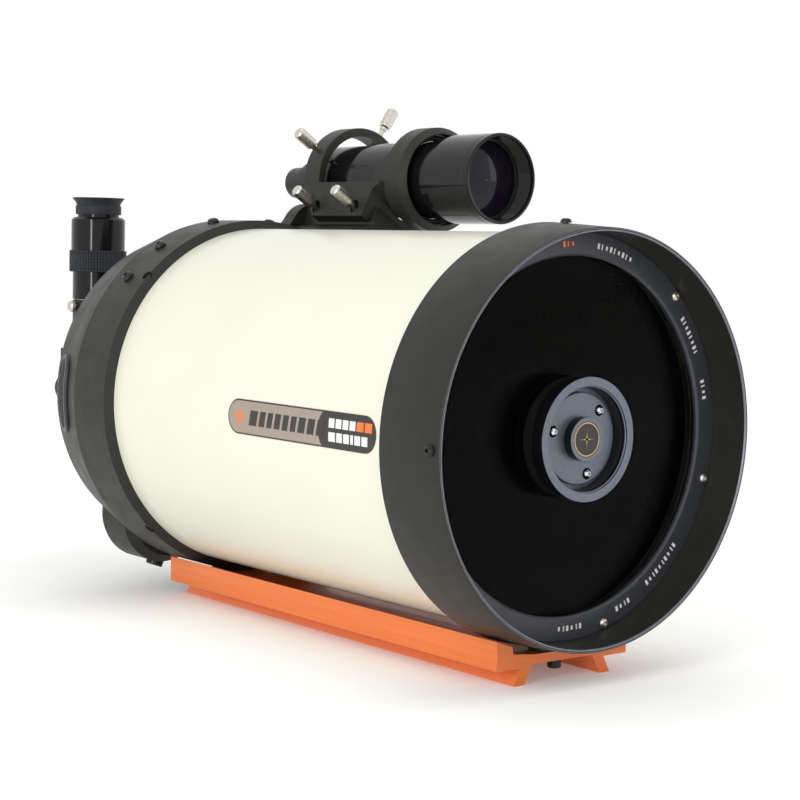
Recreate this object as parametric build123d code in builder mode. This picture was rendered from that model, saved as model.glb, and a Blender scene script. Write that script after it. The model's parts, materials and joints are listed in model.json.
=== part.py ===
"""Schmidt-Cassegrain telescope: optical tube, dovetail bar, finder, star diagonal and eyepiece.

Frame: X across the tube, the aperture faces -Y, +Z is up. The origin is the middle of the dovetail
bar's base. Lengths are in millimetres. "Station" is the distance behind the front rim.
"""

import os
from math import cos, radians, sin, sqrt

from build123d import *

# ---------------------------------------------------------------- driving dimensions

axis_height = 133.3          # optical axis above the dovetail bar's base
bar_start = 26.5             # station of the bar's front end
bar_end = 356.0
front_y = -(bar_start + bar_end) / 2
bar_bolt_stations = (33.5, 344.0)
bar_bolt_r = 2.5

tube_r = 111.0
tube_wall = 1.6
tube_start = 38.4
tube_end = 335.0
socket_r = tube_r + 0.1      # the cells' sockets over the tube

front_rim_r = 114.0
front_rear_r = 116.5
front_depth = 45.8
front_bore_r = 111.9
ring_seat = 27.5             # station of the seat under the retaining ring
corrector_seat = 33.0
corrector_r = 103.8
corrector_thickness = 4.8
clear_aperture_r = 101.6     # 203.2 mm aperture
ring_in_r = 98.5
ring_out_r = 111.6
ring_thickness = 3.0
ring_screw_circle_r = 108.7

rear_front = 325.0
rear_r = 116.5
rear_crease = 366.7
rear_rim = 409.5
rear_rim_r = 105.6
rear_back = 412.0
rear_cavity_r = 108.0
rear_wall = 404.0            # inner face of the back wall
port_r = 25.2                # two-inch 24 tpi accessory thread, outer radius
port_end = 432.0
port_hole_r = 22.1

secondary_r = 33.9
mount_r = 25.2
collimation_circle_r = 20.3
collimation_angles = (167.0, 47.0, -73.0)

mirror_r = 102.5
mirror_front = 352.0
mirror_back = 374.0
mirror_curve_r = 812.8       # radius of curvature of the f/2 primary
sleeve_r = 26.6
baffle_r = 22.0

focus_x = -36.0
focus_z = -62.0
focus_rod_r = 3.0
focus_nut_r = 6.0
focus_knob_r = 22.0
lobe_x = -40.0
lobe_z = -83.0
lobe_r = 32.0

clutch_x = 92.0
clutch_z = 2.0
clutch_rod_r = 2.5
clutch_shank_r = 4.0
clutch_knob_r = 9.6

vent_station = 394.5
vent_length = 52.0
vent_width = 24.0

nose_r = 15.875              # 1.25 inch barrels
nose_bore_r = 15.95
eyepiece_station = 544.0
holder_top = 56.5            # height of the eyepiece holder's rim above the optical axis

finder_angle = 57.0          # from +X, round the tube towards the top
finder_radius = 174.1        # finder axis from the optical axis
finder_tube_r = 25.5
finder_rear_r = 24.6
finder_bell_r = 29.0
pivot_station = 265.0        # the O-ring that the finder tilts about
finder_screw_station = 352.0
rail_top = 141.0
rail_foot = 131.0

thread_play = 0.05           # between a screw and its hole

# ---------------------------------------------------------------- places and helpers

os.makedirs("parts", exist_ok=True)

finder_cos = cos(radians(finder_angle))
finder_sin = sin(radians(finder_angle))


def place(x, station, z):
    """A point given across, behind the front rim and above the optical axis."""
    return (x, front_y + station, axis_height + z)


def dome(vertex, curve_r, edge_r):
    """Three points of a spherical face, from its vertex on the axis out to its edge."""
    half = edge_r / 2
    return (
        (0, vertex),
        (half, vertex + curve_r - sqrt(curve_r**2 - half**2)),
        (edge_r, vertex + curve_r - sqrt(curve_r**2 - edge_r**2)),
    )


def hollow(vertex, curve_r, edge_r):
    """Three points of a spherical face that bends towards smaller heights at its edge."""
    return tuple((r, 2 * vertex - h) for r, h in dome(vertex, curve_r, edge_r))


def along_plane(x=0.0, z=0.0):
    """Plane for pieces turned about an axis parallel to the tube: (radius, station)."""
    return Plane(origin=place(x, 0, z), x_dir=(1, 0, 0), z_dir=(0, 0, 1))


def upright_plane(station):
    """Plane for pieces turned about a vertical axis: (radius, height above the optical axis)."""
    return Plane(origin=place(0, station, 0), x_dir=(1, 0, 0), z_dir=(0, -1, 0))


def face_plane(station):
    """Plane square to the tube, seen from the front: (x, z). Extruding goes towards the front."""
    return Plane(origin=place(0, station, 0), x_dir=(1, 0, 0), z_dir=(0, -1, 0))


def radial_plane(angle, station):
    """Plane for pieces turned about a radius of the tube: (along the tube, distance from the axis)."""
    c = cos(radians(angle))
    s = sin(radians(angle))
    return Plane(origin=place(0, station, 0), x_dir=(0, 1, 0), z_dir=(s, 0, -c))


def saddle_plane(station):
    """Plane square to the tube with its y axis out through the finder. Extruding goes forwards."""
    return Plane(
        origin=place(0, station, 0), x_dir=(finder_sin, 0, -finder_cos), z_dir=(0, -1, 0)
    )


def side_plane():
    """Plane through the optical and finder axes: (station, distance from the optical axis)."""
    return Plane(origin=place(0, 0, 0), x_dir=(0, 1, 0), z_dir=(finder_sin, 0, -finder_cos))


def tangent_plane(station, distance):
    """Plane for screws square to the finder's radius: (along the tube, towards the -X side)."""
    return Plane(
        origin=place(distance * finder_cos, station, distance * finder_sin),
        x_dir=(0, 1, 0),
        z_dir=(finder_cos, 0, finder_sin),
    )


def outline(*points):
    """A closed face through the points, in the sketch being made."""
    with BuildLine() as edge:
        Polyline(*points, close=True)
    make_face(edge.edges())


def turn(plane, *points, mode=Mode.ADD):
    """Revolve the outline about the plane's own y axis, which it may touch but not cross."""
    with BuildSketch(plane) as section:
        outline(*points)
    revolve(section.sketch, axis=Axis(plane.origin, plane.y_dir), mode=mode)


def prism(plane, points, depth, both=False, mode=Mode.ADD):
    """Extrude the outline square to its plane."""
    with BuildSketch(plane) as section:
        outline(*points)
    extrude(section.sketch, amount=depth, both=both, mode=mode)


def bore(plane, radius, start, end):
    """Cut a round hole about the plane's y axis, from start to end along it."""
    turn(plane, (0, start), (radius, start), (radius, end), (0, end), mode=Mode.SUBTRACT)


def hex_socket(plane, top, depth, radius):
    """Cut a hexagonal socket into a screw head whose top stands at `top` on the plane's y axis."""
    floor = plane.origin + plane.y_dir * (top - depth)
    with BuildSketch(Plane(origin=floor, x_dir=plane.x_dir, z_dir=plane.y_dir)) as socket:
        RegularPolygon(radius=radius, side_count=6)
    extrude(socket.sketch, amount=depth + 0.5, mode=Mode.SUBTRACT)


def button_screw(plane, seat, head_r, head_h, shank_r, shank_l):
    """A domed socket screw standing out along the plane's y axis from its seat."""
    turn(
        plane,
        (0, seat - shank_l),
        (shank_r, seat - shank_l),
        (shank_r, seat),
        (head_r, seat),
        (head_r, seat + 0.35 * head_h),
        (0.82 * head_r, seat + 0.8 * head_h),
        (0.5 * head_r, seat + head_h),
        (0, seat + head_h),
    )
    hex_socket(plane, seat + head_h, 0.6 * head_h, 0.42 * head_r)


def cap_screw(plane, seat, head_r, head_h, shank_r, shank_l):
    """A cylindrical socket screw standing out along the plane's y axis from its seat."""
    turn(
        plane,
        (0, seat - shank_l),
        (shank_r, seat - shank_l),
        (shank_r, seat),
        (head_r, seat),
        (head_r, seat + head_h - 0.6),
        (head_r - 0.6, seat + head_h),
        (0, seat + head_h),
    )
    hex_socket(plane, seat + head_h, 0.5 * head_h, 0.5 * head_r)


def thumb_screw(plane, tip, head_start, head_end, shank_r, head_r):
    """A knurled-head screw: a plain shank from its tip to a cylindrical head."""
    turn(
        plane,
        (0, tip),
        (shank_r - 0.4, tip),
        (shank_r, tip + 0.5),
        (shank_r, head_start),
        (head_r - 0.8, head_start),
        (head_r, head_start + 0.8),
        (head_r, head_end - 0.8),
        (head_r - 0.8, head_end),
        (0, head_end),
    )


def finish(builder, name):
    """Name a finished piece and write it."""
    builder.part.label = name
    export_step(builder.part, f"parts/{name}.step")


optical = along_plane()

# ---------------------------------------------------------------- front cell and corrector

ring_screw_angles = [-15 + 60 * step for step in range(6)]
side_screw_places = ((180.0, 6.1), (0.0, 6.1), (90.0, 34.5))


def ring_screw_plane(angle):
    """Axis of a retaining-ring screw, with its y axis out of the aperture."""
    x = ring_screw_circle_r * cos(radians(angle))
    z = ring_screw_circle_r * sin(radians(angle))
    return Plane(origin=place(x, 0, z), x_dir=(1, 0, 0), z_dir=(0, 0, -1))


def front_cell_r(station):
    """Outer radius of the front cell, which widens towards the back."""
    return front_rim_r + (front_rear_r - front_rim_r) * station / front_depth


with BuildPart() as front_cell:
    turn(
        optical,
        (front_bore_r - 0.4, 0),
        (front_rim_r - 0.6, 0),
        (front_rim_r, 0.6),
        (front_rear_r, front_depth - 0.8),
        (front_rear_r - 0.8, front_depth),
        (socket_r, front_depth),
        (socket_r, tube_start - 0.4),
        (clear_aperture_r, tube_start - 0.4),
        (clear_aperture_r, corrector_seat),
        (105.6, corrector_seat),
        (105.6, ring_seat),
        (front_bore_r, ring_seat),
        (front_bore_r, 0.6),
    )
    for angle in ring_screw_angles:
        bore(ring_screw_plane(angle), 1.5, -34.0, -ring_seat + 1)
    for angle, station in side_screw_places:
        bore(radial_plane(angle, station), 1.5, front_bore_r - 1, 120)
    for angle in (50.0, 121.0):
        bore(radial_plane(angle, 41.9), 2.4, 115.0, 120)
    bore(radial_plane(-90, bar_bolt_stations[0]), bar_bolt_r + thread_play, 111.8, 120)
finish(front_cell, "front_cell")

with BuildPart() as retaining_ring:
    turn(
        optical,
        (ring_in_r + 1.2, ring_seat - ring_thickness),
        (ring_out_r, ring_seat - ring_thickness),
        (ring_out_r, ring_seat),
        (ring_in_r, ring_seat),
        (ring_in_r, ring_seat - ring_thickness + 1.2),
    )
    for angle in ring_screw_angles:
        bore(ring_screw_plane(angle), 1.7, -ring_seat - 1, -ring_seat + ring_thickness + 1)
finish(retaining_ring, "retaining_ring")

with BuildPart() as retaining_ring_screws:
    for angle in ring_screw_angles:
        button_screw(ring_screw_plane(angle), ring_thickness - ring_seat, 2.9, 1.8, 1.45, 9.0)
finish(retaining_ring_screws, "retaining_ring_screws")

with BuildPart() as front_cell_screws:
    for angle, station in side_screw_places:
        seat = front_cell_r(station) + 0.25
        button_screw(radial_plane(angle, station), seat, 3.1, 2.4, 1.45, 2.0)
finish(front_cell_screws, "front_cell_screws")

with BuildPart() as corrector_plate:
    turn(
        optical,
        (27.0, corrector_seat - corrector_thickness),
        (corrector_r, corrector_seat - corrector_thickness),
        (corrector_r, corrector_seat),
        (27.0, corrector_seat),
    )
finish(corrector_plate, "corrector_plate")

# ---------------------------------------------------------------- tube

with BuildPart() as tube_shell:
    turn(
        optical,
        (tube_r - tube_wall, tube_start),
        (tube_r, tube_start),
        (tube_r, tube_end),
        (tube_r - tube_wall, tube_end),
    )
finish(tube_shell, "tube_shell")

label_start = 54.9
label_end = 194.0
label_height = 20.0
label_rise = 2.5

with BuildPart() as label_plate:
    turn(
        optical,
        (tube_r + 0.03, label_start),
        (tube_r + 0.45, label_start),
        (tube_r + 0.45, label_end),
        (tube_r + 0.03, label_end),
    )
    pill_plane = Plane(
        origin=place(-tube_r, (label_start + label_end) / 2, label_rise),
        x_dir=(0, -1, 0),
        z_dir=(-1, 0, 0),
    )
    with BuildSketch(pill_plane):
        SlotOverall(label_end - label_start, label_height)
    extrude(amount=6, both=True, mode=Mode.INTERSECT)
finish(label_plate, "label_plate")

# ---------------------------------------------------------------- rear cell

accessory_screw_angles = (41.7, 57.0 + 22.2, 101.4, 123.0, 138.3)
accessory_screw_station = 350.0
tube_screw_places = ((-134.0, 330.5), (137.0, 330.5), (-46.0, 330.5), (43.0, 330.5))
shoe_screw_stations = (338.0, 356.0)
lobe_screw_angle = -110.5
lobe_screw_station = 385.0
lobe_screw_seat = 117.5
lobe_screw_head_r = 5.8
vent_lean = 14.4             # slope of the tapered band, in degrees


def rear_cell_r(station):
    """Outer radius of the rear cell's tapered band."""
    share = (station - rear_crease) / (rear_rim - rear_crease)
    return rear_r + (rear_rim_r - rear_r) * max(0.0, share)


def vent_plane(side):
    """Plane lying on the tapered band at the vent, facing out; side is -1 or +1 along X."""
    lean = radians(vent_lean)
    return Plane(
        origin=place(side * rear_cell_r(vent_station), vent_station, 0),
        x_dir=(0, 0, 1),
        z_dir=(side * cos(lean), sin(lean), 0),
    )


with BuildPart() as rear_cell:
    turn(
        optical,
        (port_hole_r, rear_wall - 8),
        (rear_r - 6, rear_wall - 30),
        (socket_r, rear_front),
        (socket_r + 0.3, rear_front),
        (rear_r, rear_front + 3.4),
        (rear_r, rear_crease),
        (rear_rim_r, rear_rim),
        (rear_rim_r - 2.2, rear_back),
        (46, rear_back),
        (43, 418),
        (port_r, 418),
        (port_r, port_end - 0.8),
        (port_r - 0.8, port_end),
        (port_hole_r, port_end),
    )
    turn(
        along_plane(lobe_x, lobe_z),
        (0, 372),
        (lobe_r - 5, 372),
        (lobe_r, 378),
        (lobe_r, 406),
        (lobe_r - 2, 410.5),
        (lobe_r - 6, 413.5),
        (0, 414),
    )
    turn(
        optical,
        (0, rear_front - 1),
        (socket_r, rear_front - 1),
        (socket_r, tube_end + 0.2),
        (rear_cavity_r, tube_end + 0.2),
        (rear_cavity_r, 372),
        (99, rear_wall),
        (0, rear_wall),
        mode=Mode.SUBTRACT,
    )
    bore(optical, port_hole_r, rear_wall - 1, port_end + 1)
    bore(along_plane(focus_x, focus_z), focus_nut_r + thread_play, rear_wall - 1, 416)
    for side in (-1, 1):
        bore(
            along_plane(side * clutch_x, clutch_z),
            clutch_shank_r + thread_play,
            rear_wall - 3,
            rear_back + 2,
        )
        with BuildSketch(vent_plane(side)):
            SlotOverall(vent_length + 0.3, vent_width + 0.3)
        extrude(amount=16, both=True, mode=Mode.SUBTRACT)
    for angle in accessory_screw_angles:
        bore(radial_plane(angle, accessory_screw_station), 1.6, 110.5, 120)
    for angle, station in tube_screw_places:
        bore(radial_plane(angle, station), 1.5, 110.5, 114.0)
        bore(radial_plane(angle, station), 3.4, 114.0, 120)
    for station in shoe_screw_stations:
        bore(radial_plane(finder_angle, station), 2.0 + thread_play, 110.0, 120)
    lobe_plane = radial_plane(lobe_screw_angle, lobe_screw_station)
    bore(lobe_plane, 3.0 + thread_play, 108, 118)
    bore(lobe_plane, lobe_screw_head_r + 0.4, lobe_screw_seat, 128)
    bore(radial_plane(-90, bar_bolt_stations[1]), bar_bolt_r + thread_play, 111.8, 120)
finish(rear_cell, "rear_cell")

with BuildPart() as rear_cell_screws:
    for angle in accessory_screw_angles:
        button_screw(
            radial_plane(angle, accessory_screw_station), rear_r + 0.1, 3.9, 3.0, 1.5, 5.0
        )
finish(rear_cell_screws, "rear_cell_screws")

with BuildPart() as tube_screws:
    for angle, station in tube_screw_places:
        button_screw(radial_plane(angle, station), 114.05, 2.6, 1.5, 1.45, 2.8)
finish(tube_screws, "tube_screws")

# ---------------------------------------------------------------- vents

slat_count = 15
slat_pitch = 4.0
slat_turn = 42.0
slat_rise = 2.3
vent_border = 3.0
vent_rise = 2.6              # of the frame above the tapered band, at its front side
vent_depth = 6.0


def vent_band(rise_front, rise_back, depth):
    """Outline turned about the optical axis: a layer that follows the tapered band."""
    front = vent_station - vent_width / 2 - 2
    back = vent_station + vent_width / 2 + 2
    return (
        (rear_cell_r(front) - depth, front),
        (rear_cell_r(front) + rise_front, front),
        (rear_cell_r(back) + rise_back, back),
        (rear_cell_r(back) - depth, back),
    )


def build_vent(side):
    """A vent insert: a rounded frame round slanted slats, following the tapered band."""
    plane = vent_plane(side)
    with BuildPart() as vent:
        turn(optical, *vent_band(vent_rise, 0.6, vent_depth))
        with BuildSketch(plane.offset(-12)):
            SlotOverall(vent_length, vent_width)
        extrude(amount=24, mode=Mode.INTERSECT)
        outer_rim = vent.edges().filter_by(lambda e: plane.to_local_coords(e.center()).Z > -1.2)
        fillet(outer_rim, radius=1.6)
        with BuildSketch(plane.offset(-14)):
            SlotOverall(vent_length - 2 * vent_border, vent_width - 2 * vent_border)
        extrude(amount=28, mode=Mode.SUBTRACT)
        with BuildPart() as slats:
            turn(optical, *vent_band(slat_rise, slat_rise - 1.6, vent_depth - 2))
            with BuildSketch(plane.offset(-14)):
                for step in range(slat_count):
                    offset = (step - (slat_count - 1) / 2) * slat_pitch
                    with Locations((offset, 0)):
                        Rectangle(1.0, 60, rotation=slat_turn * side)
                SlotOverall(
                    vent_length - 2 * vent_border + 0.6,
                    vent_width - 2 * vent_border + 0.6,
                    mode=Mode.INTERSECT,
                )
            extrude(amount=28, mode=Mode.INTERSECT)
    return vent


for side, side_name in ((-1, "left"), (1, "right")):
    finish(build_vent(side), f"vent_grille_{side_name}")

# ---------------------------------------------------------------- secondary mirror assembly

with BuildPart() as secondary_housing:
    turn(
        optical,
        (28.3, 15.2),
        (32.5, 15.2),
        (32.5, corrector_seat - corrector_thickness),
        (26.6, corrector_seat - corrector_thickness),
        (26.6, 36.5),
        (24.6, 36.5),
        (24.6, 24.0),
        (28.3, 24.0),
    )
finish(secondary_housing, "secondary_housing")

with BuildPart() as secondary_lock_ring:
    turn(
        optical,
        (29.4, 11.7),
        (secondary_r - 0.3, 11.7),
        (secondary_r, 12.0),
        (secondary_r, 20.5),
        (32.65, 20.5),
        (32.65, 15.1),
        (28.5, 15.1),
        (28.5, 12.9),
        (29.1, 12.9),
        (29.1, 12.0),
    )
finish(secondary_lock_ring, "secondary_lock_ring")


def collimation_plane(angle):
    """Axis of a collimation screw, with its y axis out of the aperture."""
    x = collimation_circle_r * cos(radians(angle))
    z = collimation_circle_r * sin(radians(angle))
    return Plane(origin=place(x, 0, z), x_dir=(1, 0, 0), z_dir=(0, 0, -1))


with BuildPart() as secondary_mount:
    turn(
        optical,
        (0, 18.6),
        (mount_r - 0.5, 18.6),
        (mount_r, 19.1),
        (mount_r, 21.5),
        (28.1, 21.5),
        (28.1, 23.95),
        (3.0, 23.95),
        (1.5, 25.4),
        (0, 25.6),
    )
    for angle in collimation_angles:
        bore(collimation_plane(angle), 2.0 + thread_play, -30, -21.2)
        bore(collimation_plane(angle), 3.2, -21.2, -17)
finish(secondary_mount, "secondary_mount")

with BuildPart() as secondary_cap:
    turn(
        optical,
        (0, 13.4),
        (9.4, 13.4),
        (9.4, 12.8),
        (11.6, 12.8),
        (12.0, 13.2),
        (12.0, 18.55),
        (0, 18.55),
    )
finish(secondary_cap, "secondary_cap")

for number, angle in enumerate(collimation_angles, start=1):
    with BuildPart() as collimation_screw:
        button_screw(collimation_plane(angle), -21.1, 2.5, 4.4, 2.0, 5.6)
    finish(collimation_screw, f"collimation_screw_{number}")

with BuildPart() as secondary_carrier:
    turn(
        optical,
        (0, 26.0),
        (2.0, 26.2),
        (3.5, 27.4),
        (23.4, 27.4),
        (23.4, 38.0),
        (0, 38.0),
    )
finish(secondary_carrier, "secondary_carrier")

with BuildPart() as secondary_mirror:
    with BuildSketch(optical):
        with BuildLine():
            crown = ThreePointArc(*hollow(44.8, 205.0, 23.2))
            Polyline(crown @ 1, (23.2, 38.05), (0, 38.05), crown @ 0)
        make_face()
    revolve(axis=Axis(optical.origin, optical.y_dir))
finish(secondary_mirror, "secondary_mirror")

with BuildPart() as secondary_baffle:
    turn(
        optical,
        (26.7, corrector_seat + 0.05),
        (34.3, corrector_seat + 0.05),
        (34.3, 64),
        (33.1, 64),
        (33.1, 36.2),
        (26.7, 36.2),
    )
finish(secondary_baffle, "secondary_baffle")

# ---------------------------------------------------------------- primary mirror and baffle

mirror_sag = mirror_curve_r - sqrt(mirror_curve_r**2 - mirror_r**2)


def mirror_surface(radius):
    """Station of the primary's concave face at a radius."""
    return mirror_front + mirror_sag - (mirror_curve_r - sqrt(mirror_curve_r**2 - radius**2))


with BuildPart() as primary_mirror:
    with BuildSketch(optical):
        with BuildLine():
            ThreePointArc(
                (sleeve_r + 0.2, mirror_surface(sleeve_r + 0.2)),
                (65.0, mirror_surface(65.0)),
                (mirror_r, mirror_front),
            )
            Polyline(
                (mirror_r, mirror_front),
                (mirror_r, mirror_back - 2),
                (mirror_r - 2, mirror_back),
                (sleeve_r + 0.2, mirror_back),
                (sleeve_r + 0.2, mirror_surface(sleeve_r + 0.2)),
            )
        make_face()
    revolve(axis=Axis(optical.origin, optical.y_dir))
finish(primary_mirror, "primary_mirror")

carrier_front = 335.0
carrier_rear = 386.0
flange_back = 379.0

with BuildPart() as mirror_carrier:
    turn(
        optical,
        (baffle_r + 0.08, carrier_front),
        (sleeve_r, carrier_front),
        (sleeve_r, mirror_back + 0.02),
        (62, mirror_back + 0.02),
        (62, flange_back),
        (31, flange_back),
        (31, carrier_rear),
        (baffle_r + 0.08, carrier_rear),
    )
    with BuildSketch(face_plane(flange_back)):
        with Locations((focus_x, focus_z)):
            Circle(10)
        with Locations((0, clutch_z)):
            SlotOverall(2 * clutch_x + 14, 14)
        with Locations((0, 0)):
            Circle(50, mode=Mode.SUBTRACT)
    extrude(amount=flange_back - mirror_back - 0.02)
    bore(along_plane(focus_x, focus_z), focus_rod_r + thread_play, 370, 390)
    for side in (-1, 1):
        bore(along_plane(side * clutch_x, clutch_z), clutch_rod_r + thread_play, 370, 390)
finish(mirror_carrier, "mirror_carrier")

with BuildPart() as mirror_lock_ring:
    lock_seat = mirror_surface(36.0) - 0.1
    turn(
        optical,
        (sleeve_r + 0.1, lock_seat - 4),
        (34, lock_seat - 4),
        (35.5, lock_seat - 2.5),
        (35.5, lock_seat),
        (sleeve_r + 0.1, lock_seat),
    )
finish(mirror_lock_ring, "mirror_lock_ring")

with BuildPart() as clutch_rods:
    for side in (-1, 1):
        turn(
            along_plane(side * clutch_x, clutch_z),
            (0, mirror_back + 0.05),
            (clutch_rod_r, mirror_back + 0.05),
            (clutch_rod_r, 409.4),
            (clutch_rod_r - 0.5, 409.9),
            (0, 409.9),
        )
finish(clutch_rods, "clutch_rods")

with BuildPart() as baffle_tube:
    turn(
        optical,
        (19.8, 150),
        (20.8, 150),
        (21.2, 322),
        (baffle_r, 323),
        (baffle_r, 396.5),
        (33, 396.5),
        (33, rear_wall - 0.05),
        (baffle_r, rear_wall - 0.05),
        (baffle_r, port_end - 0.4),
        (19.4, port_end - 0.4),
        (19.4, 323),
        (19.8, 320),
    )
finish(baffle_tube, "baffle_tube")

with BuildPart() as field_lens:
    with BuildSketch(optical):
        with BuildLine():
            front_face = ThreePointArc(*dome(377.0, 62.0, 19.3))
            rear_face = ThreePointArc(*hollow(387.0, 75.0, 19.3))
            Line(front_face @ 1, rear_face @ 1)
            Line(rear_face @ 0, front_face @ 0)
        make_face()
    revolve(axis=Axis(optical.origin, optical.y_dir))
finish(field_lens, "field_lens")

# ---------------------------------------------------------------- focuser and mirror clutches

focus_axis = along_plane(focus_x, focus_z)

with BuildPart() as focus_screw:
    turn(
        focus_axis,
        (0, mirror_back + 0.05),
        (focus_rod_r, mirror_back + 0.05),
        (focus_rod_r, flange_back + 0.03),
        (5.5, flange_back + 0.03),
        (5.5, 382),
        (focus_rod_r, 382),
        (focus_rod_r, 420.5),
        (focus_rod_r - 0.5, 421),
        (0, 421),
    )
finish(focus_screw, "focus_screw")

with BuildPart() as focus_nut:
    turn(
        focus_axis,
        (focus_rod_r + 0.07, 397),
        (9.5, 397),
        (9.5, rear_wall - 0.3),
        (focus_nut_r, rear_wall - 0.3),
        (focus_nut_r, 434),
        (focus_rod_r + 0.07, 434),
    )
finish(focus_nut, "focus_nut")

with BuildPart() as focus_knob:
    turn(
        focus_axis,
        (focus_nut_r + 0.02, 414.5),
        (focus_knob_r - 2.5, 414.5),
        (focus_knob_r, 417),
        (focus_knob_r, 439),
        (focus_knob_r - 2.5, 441.5),
        (0, 441.5),
        (0, 437),
        (focus_nut_r + 0.02, 437),
    )
finish(focus_knob, "focus_knob")

for side, side_name in ((-1, "left"), (1, "right")):
    with BuildPart() as clutch_knob:
        turn(
            along_plane(side * clutch_x, clutch_z),
            (clutch_rod_r + 0.08, 402),
            (clutch_shank_r, 402),
            (clutch_shank_r, rear_back + 0.3),
            (clutch_knob_r - 1.3, rear_back + 0.3),
            (clutch_knob_r, rear_back + 1.6),
            (clutch_knob_r, 419.5),
            (clutch_knob_r - 1.4, 421.5),
            (0, 421.5),
            (0, 419.5),
            (clutch_rod_r + 0.08, 419.5),
        )
    finish(clutch_knob, f"clutch_knob_{side_name}")

# ---------------------------------------------------------------- visual back and star diagonal

visual_end = 478.0
visual_screw_angle = 150.0
visual_screw_station = 468.0
diagonal_start = 480.0

with BuildPart() as visual_back:
    turn(
        optical,
        (port_r + 0.05, 418.3),
        (29.2, 418.3),
        (30.5, 419.6),
        (30.5, 431),
        (29.2, 432.4),
        (25, 436),
        (20.5, 440),
        (20.5, visual_end - 0.8),
        (19.7, visual_end),
        (nose_bore_r, visual_end),
        (nose_bore_r, 436),
        (20, port_end + 0.1),
        (port_r + 0.05, port_end + 0.1),
    )
    bore(radial_plane(visual_screw_angle, visual_screw_station), 2.0 + thread_play, 12, 22)
finish(visual_back, "visual_back")

with BuildPart() as visual_back_screw:
    thumb_screw(
        radial_plane(visual_screw_angle, visual_screw_station), nose_bore_r + 0.2, 23, 33, 2.0, 4.5
    )
finish(visual_back_screw, "visual_back_screw")

with BuildPart() as diagonal_nosepiece:
    turn(
        optical,
        (13.9, 446),
        (nose_r - 0.5, 446),
        (nose_r, 446.6),
        (nose_r, 500),
        (13.9, 500),
    )
finish(diagonal_nosepiece, "diagonal_nosepiece")

holder_screw_axis = Plane(
    origin=place(0, eyepiece_station, 51.6), x_dir=(0, 1, 0), z_dir=(0, 0, 1)
)
box_half = 19.5
mirror_gap = 0.2             # of the flat mirror behind the reflecting plane
mirror_sheet = 4.0
box_back = 6.0               # slanted back face behind the reflecting plane


def slant_plane(depth):
    """Plane parallel to the diagonal's mirror: x across, y up the slope, facing behind it."""
    shift = depth / sqrt(2)
    return Plane(
        origin=place(0, eyepiece_station + shift, -shift),
        x_dir=(1, 0, 0),
        z_dir=(0, sqrt(0.5), -sqrt(0.5)),
    )


def slant_edge(z, depth):
    """Station of the slanted plane, `depth` behind the mirror, at a height."""
    return eyepiece_station + z + depth * sqrt(2)


with BuildPart() as diagonal_body:
    turn(
        optical,
        (0, diagonal_start),
        (18.2, diagonal_start),
        (19.0, diagonal_start + 0.8),
        (19.0, 526),
        (0, 526),
    )
    prism(
        Plane(origin=place(0, 0, 0), x_dir=(0, 1, 0), z_dir=(1, 0, 0)),
        (
            (521, -box_half),
            (slant_edge(-box_half, box_back), -box_half),
            (slant_edge(12.0, box_back), 12.0),
            (slant_edge(12.0, box_back), box_half),
            (521, box_half),
        ),
        box_half,
        both=True,
    )
    fillet(diagonal_body.edges().filter_by(Axis.Z).group_by(Axis.Y)[0], radius=2)
    turn(
        upright_plane(eyepiece_station),
        (0, 10),
        (18.4, 10),
        (18.4, holder_top - 0.8),
        (17.6, holder_top),
        (0, holder_top),
    )
    bore(optical, nose_r, diagonal_start - 1, 500)
    bore(optical, 13.9, 500, eyepiece_station)
    bore(upright_plane(eyepiece_station), 13.9, 0, 24)
    bore(upright_plane(eyepiece_station), nose_bore_r, 24, holder_top + 1)
    with BuildSketch(slant_plane(0)):
        Rectangle(31.2, 42.0)
    extrude(amount=box_back + 1, mode=Mode.SUBTRACT)
    bore(holder_screw_axis, 2.0 + thread_play, 12, 25)
finish(diagonal_body, "diagonal_body")

with BuildPart() as diagonal_mirror:
    with BuildSketch(slant_plane(mirror_gap)):
        Rectangle(30.6, 41.4)
    extrude(amount=mirror_sheet)
finish(diagonal_mirror, "diagonal_mirror")

with BuildPart() as diagonal_cover:
    with BuildSketch(slant_plane(box_back + 0.05)):
        RectangleRounded(2 * box_half, 43.0, 3)
    extrude(amount=2.0)
    with BuildSketch(slant_plane(mirror_gap + mirror_sheet + 0.05)):
        Rectangle(30.6, 41.4)
    extrude(amount=box_back - mirror_gap - mirror_sheet + 0.1)
finish(diagonal_cover, "diagonal_cover")

with BuildPart() as diagonal_screw:
    thumb_screw(holder_screw_axis, nose_bore_r + 0.3, 19.2, 24.2, 2.0, 4.2)
finish(diagonal_screw, "diagonal_screw")

# ---------------------------------------------------------------- eyepiece

eyepiece_axis = upright_plane(eyepiece_station)
body_foot = holder_top + 0.4
grip_low = 77.4
grip_high = 93.6

with BuildPart() as eyepiece_barrel:
    turn(
        eyepiece_axis,
        (14.2, 26),
        (nose_r - 0.4, 26),
        (nose_r, 26.4),
        (nose_r, 62),
        (14.2, 62),
    )
finish(eyepiece_barrel, "eyepiece_barrel")

with BuildPart() as eyepiece_body:
    turn(
        eyepiece_axis,
        (nose_r + 0.04, body_foot),
        (18.1, body_foot),
        (18.6, body_foot + 0.5),
        (18.6, grip_low),
        (18.6, grip_high),
        (19.9, grip_high),
        (19.9, 116.4),
        (17.9, 118.2),
        (15.4, 118.2),
        (15.4, 126.5),
        (11.5, 126.5),
        (11.5, 123.2),
        (12.4, 123.2),
        (12.4, 117),
        (11.5, 117),
        (11.5, 62.1),
        (nose_r + 0.04, 62.1),
    )
finish(eyepiece_body, "eyepiece_body")

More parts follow.
